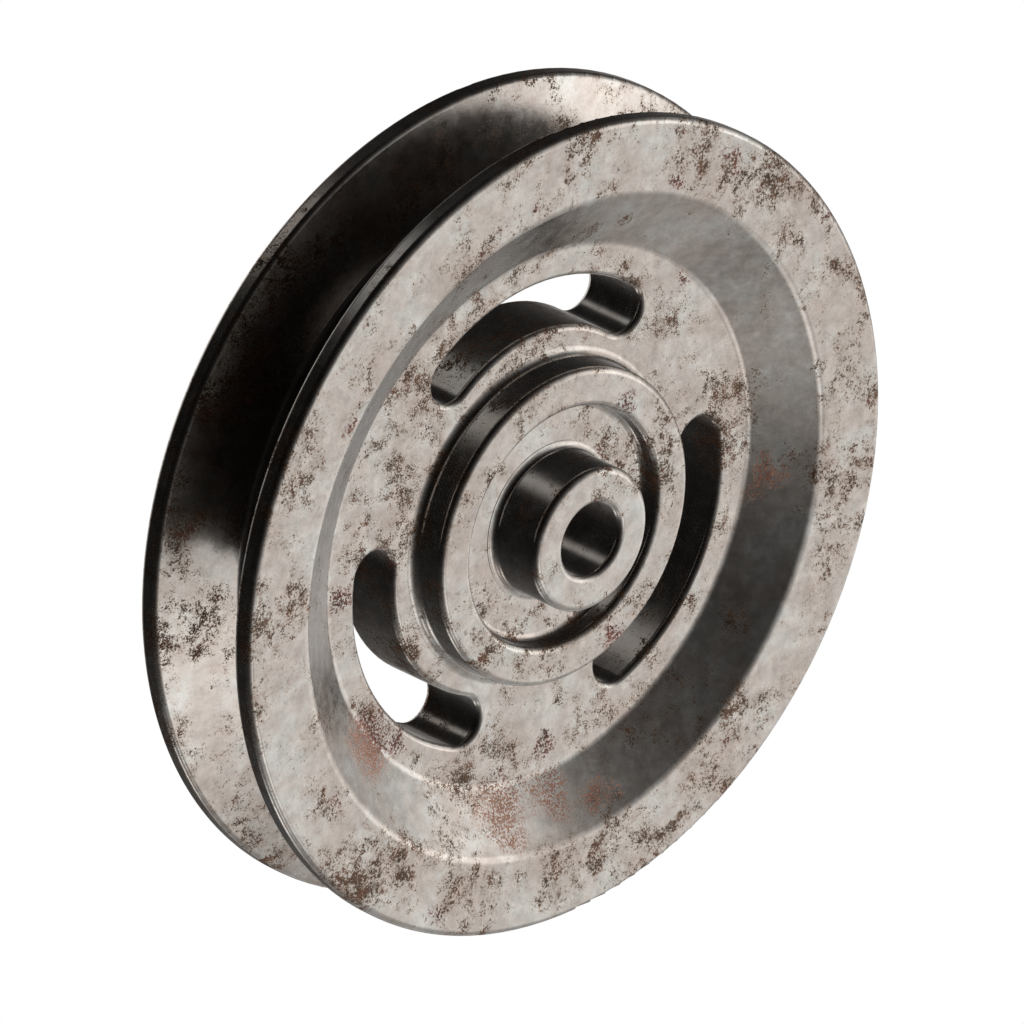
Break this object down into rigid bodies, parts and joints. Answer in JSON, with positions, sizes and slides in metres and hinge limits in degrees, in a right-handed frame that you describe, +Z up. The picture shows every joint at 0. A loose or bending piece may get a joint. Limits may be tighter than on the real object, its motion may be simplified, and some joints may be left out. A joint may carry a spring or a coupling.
{
  "type": "v belt pulley",
  "caption": "Grooved idler pulley for a V-belt, with a dished, slotted web and a central boss that turns on a sealed ball bearing round a fixed bush.",
  "frame": {"origin": "pulley centre, on the bore axis at the middle of the rim's width", "axes": "Y along the bore axis with the front face towards -Y, +Z up, one web slot straight up"},
  "size_m": [0.135, 0.0374, 0.135],
  "materials": {
    "cast_iron": "aged casting with rust spots",
    "bearing_steel": "ground",
    "ball_steel": "polished",
    "cage_steel": "pressed strip",
    "seal_rubber": "matt",
    "core_steel": "plain",
    "spring_steel": "phosphated black",
    "cover_steel": "aged, rust spots",
    "felt": "oiled felt",
    "bush_steel": "aged, rust spots"
  },
  "bodies": {
    "hub": {"front_hub_bush": "bush_steel", "rear_hub_bush": "bush_steel", "bearing_inner_ring": "bearing_steel"},
    "pulley": {"sheave": "cast_iron", "bearing_outer_ring": "bearing_steel", "front_seal": "seal_rubber", "rear_seal": "seal_rubber", "front_seal_core": "core_steel", "rear_seal_core": "core_steel", "retaining_ring": "spring_steel", "rear_dust_cover": "cover_steel", "front_felt_ring": "felt", "rear_felt_ring": "felt"},
    "ball_set": {"ball_1": "ball_steel", "ball_2": "ball_steel", "ball_3": "ball_steel", "ball_4": "ball_steel", "ball_5": "ball_steel", "ball_6": "ball_steel", "ball_7": "ball_steel", "ball_8": "ball_steel", "cage_front_half": "cage_steel", "cage_rear_half": "cage_steel", "cage_rivets": "cage_steel"}
  },
  "joints": [
    {"name": "pulley_spin", "type": "hinge", "parent": "hub", "child": "pulley", "pos_m": [0, 0, 0], "axis": [0, 1, 0], "continuous": true},
    {"name": "cage_orbit", "type": "hinge", "parent": "hub", "child": "ball_set", "pos_m": [0, 0, 0], "axis": [0, 1, 0], "continuous": true}
  ],
  "couplings": [
    {"joint": "cage_orbit", "follows": "pulley_spin", "ratio": 0.6184}
  ]
}
